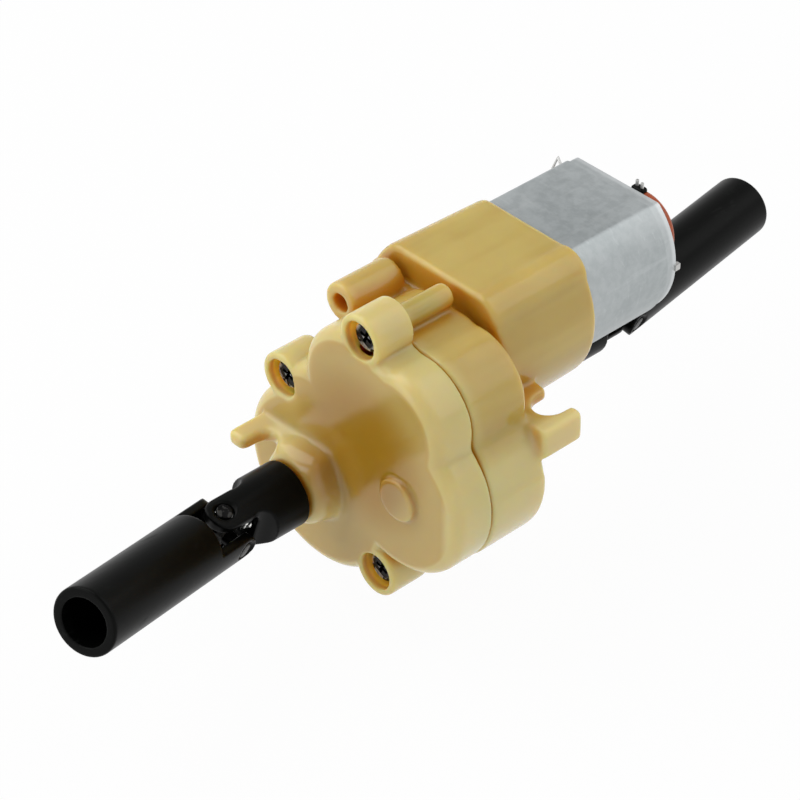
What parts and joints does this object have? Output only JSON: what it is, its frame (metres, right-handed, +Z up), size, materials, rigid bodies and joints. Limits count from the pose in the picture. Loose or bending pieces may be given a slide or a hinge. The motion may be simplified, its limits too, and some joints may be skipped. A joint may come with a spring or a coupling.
{
  "type": "geared dc motor",
  "caption": "Flat-can dc motor on a moulded gearbox with slotted lugs; its through shaft carries a universal joint and a hollow drive tube in front and behind.",
  "frame": {"origin": "on the output shaft's axis, in the plane where the front cover meets the rear case", "axes": "+Y along the output shaft from the front cover to the motor's rear, +Z up from the output shaft to the motor, +X to the right seen from the front cover"},
  "size_m": [0.0356, 0.1187, 0.0391],
  "materials": {
    "ivory_nylon": "moulded, slightly translucent",
    "black_plastic": "semi-gloss",
    "white_acetal": "moulded",
    "steel": "ground",
    "blackened_steel": "black oxide",
    "zinc_plate": "zinc plated, finely scratched",
    "tinned_brass": "tinned",
    "brass": "sintered",
    "copper": "enamelled wire and strip",
    "laminated_steel": "stacked sheet",
    "ferrite": "sintered, dull",
    "capacitor_ceramic": "dipped coating"
  },
  "bodies": {
    "housing": {"front_cover": "ivory_nylon", "rear_case": "ivory_nylon", "cover_screw_top": "blackened_steel", "cover_screw_left": "blackened_steel", "cover_screw_bottom": "blackened_steel", "motor_screw_upper": "steel", "motor_screw_lower": "steel", "front_bush": "brass", "rear_bush": "brass", "lower_idler_pin": "steel", "upper_idler_pin": "steel", "motor_can": "zinc_plate", "motor_end_cap": "black_plastic", "motor_front_bush": "brass", "motor_rear_bush": "brass", "magnet_left": "ferrite", "magnet_right": "ferrite", "brush_left": "copper", "brush_right": "copper", "terminal_left": "tinned_brass", "terminal_right": "tinned_brass", "capacitor": "capacitor_ceramic"},
    "output": {"output_shaft": "steel", "output_gear": "white_acetal", "front_yoke": "black_plastic", "front_yoke_screw": "blackened_steel", "rear_yoke": "black_plastic", "rear_yoke_screw": "blackened_steel"},
    "lower_idler": {"lower_idler_gear": "white_acetal"},
    "upper_idler": {"upper_idler_gear": "white_acetal"},
    "rotor": {"motor_shaft": "steel", "motor_pinion": "brass", "armature_core": "laminated_steel", "winding_1": "copper", "winding_2": "copper", "winding_3": "copper", "commutator": "copper"},
    "front_cross": {"front_cross": "steel"},
    "front_tube": {"front_tube": "black_plastic"},
    "rear_cross": {"rear_cross": "steel"},
    "rear_tube": {"rear_tube": "black_plastic"}
  },
  "joints": [
    {"name": "output_spin", "type": "hinge", "parent": "housing", "child": "output", "pos_m": [0, 0, 0], "axis": [0, 1, 0], "continuous": true},
    {"name": "lower_idler_spin", "type": "hinge", "parent": "housing", "child": "lower_idler", "pos_m": [0.01431, 0, 0.00527], "axis": [0, 1, 0], "continuous": true},
    {"name": "upper_idler_spin", "type": "hinge", "parent": "housing", "child": "upper_idler", "pos_m": [0.01195, 0, 0.01343], "axis": [0, 1, 0], "continuous": true},
    {"name": "motor_spin", "type": "hinge", "parent": "housing", "child": "rotor", "pos_m": [0.0036, 0, 0.015], "axis": [0, 1, 0], "continuous": true},
    {"name": "front_cross_hinge", "type": "hinge", "parent": "output", "child": "front_cross", "pos_m": [0, -0.0201, 0], "axis": [0.3206, 0, 0.9472], "range_deg": [-36.7, 13.3]},
    {"name": "front_tube_hinge", "type": "hinge", "parent": "front_cross", "child": "front_tube", "pos_m": [0, -0.0201, 0], "axis": [0.9275, 0.2028, -0.314], "range_deg": [-7.6, 42.4]},
    {"name": "rear_cross_hinge", "type": "hinge", "parent": "output", "child": "rear_cross", "pos_m": [0, 0.0439, 0], "axis": [0.3206, 0, 0.9472], "range_deg": [-33.3, 16.7]},
    {"name": "rear_tube_hinge", "type": "hinge", "parent": "rear_cross", "child": "rear_tube", "pos_m": [0, 0.0439, 0], "axis": [-0.9373, -0.1444, 0.3173], "range_deg": [-28.1, 21.9]}
  ],
  "couplings": [
    {"joint": "lower_idler_spin", "follows": "output_spin", "ratio": -1.2593},
    {"joint": "upper_idler_spin", "follows": "output_spin", "ratio": 3.0222},
    {"joint": "motor_spin", "follows": "output_spin", "ratio": -7.2533}
  ]
}
